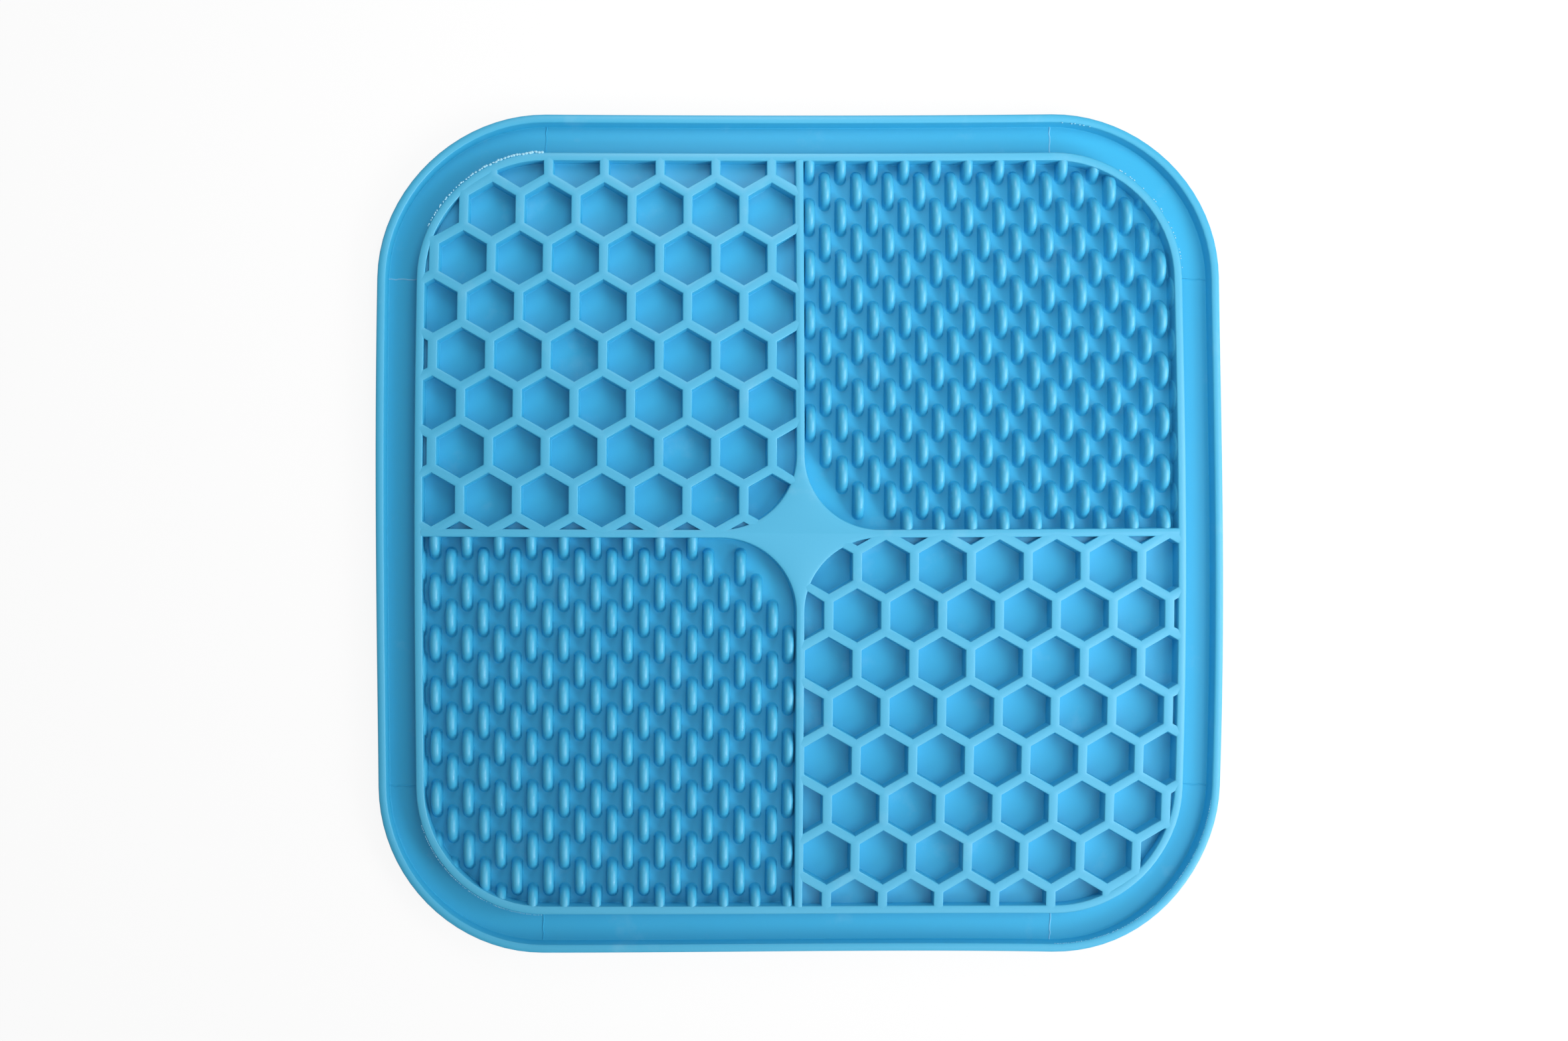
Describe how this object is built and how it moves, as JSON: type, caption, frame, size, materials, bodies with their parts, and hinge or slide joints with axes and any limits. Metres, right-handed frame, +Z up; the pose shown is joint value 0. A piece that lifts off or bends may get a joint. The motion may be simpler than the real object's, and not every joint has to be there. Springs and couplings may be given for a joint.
{
  "type": "lick mat",
  "caption": "Square silicone lick mat: a rimmed sheet with a spill channel round pockets of honeycomb cells and staggered nubs that hold spread food.",
  "frame": {"origin": "middle of the flat underside, on the surface that the mat lies on", "axes": "+Z up out of the pockets, +Y to the back, +X to the right; honeycomb at back left and front right"},
  "size_m": [0.2, 0.2, 0.0065],
  "materials": {
    "blue_silicone": "satin moulded silicone rubber"
  },
  "bodies": {
    "root": {"base_sheet": "blue_silicone", "outer_rim": "blue_silicone", "inner_frame": "blue_silicone", "centre_star": "blue_silicone", "divider_right": "blue_silicone", "divider_back": "blue_silicone", "divider_left": "blue_silicone", "divider_front": "blue_silicone", "honeycomb_back_left": "blue_silicone", "honeycomb_front_right": "blue_silicone", "nubs_back_right": "blue_silicone", "nubs_front_left": "blue_silicone"}
  },
  "joints": []
}
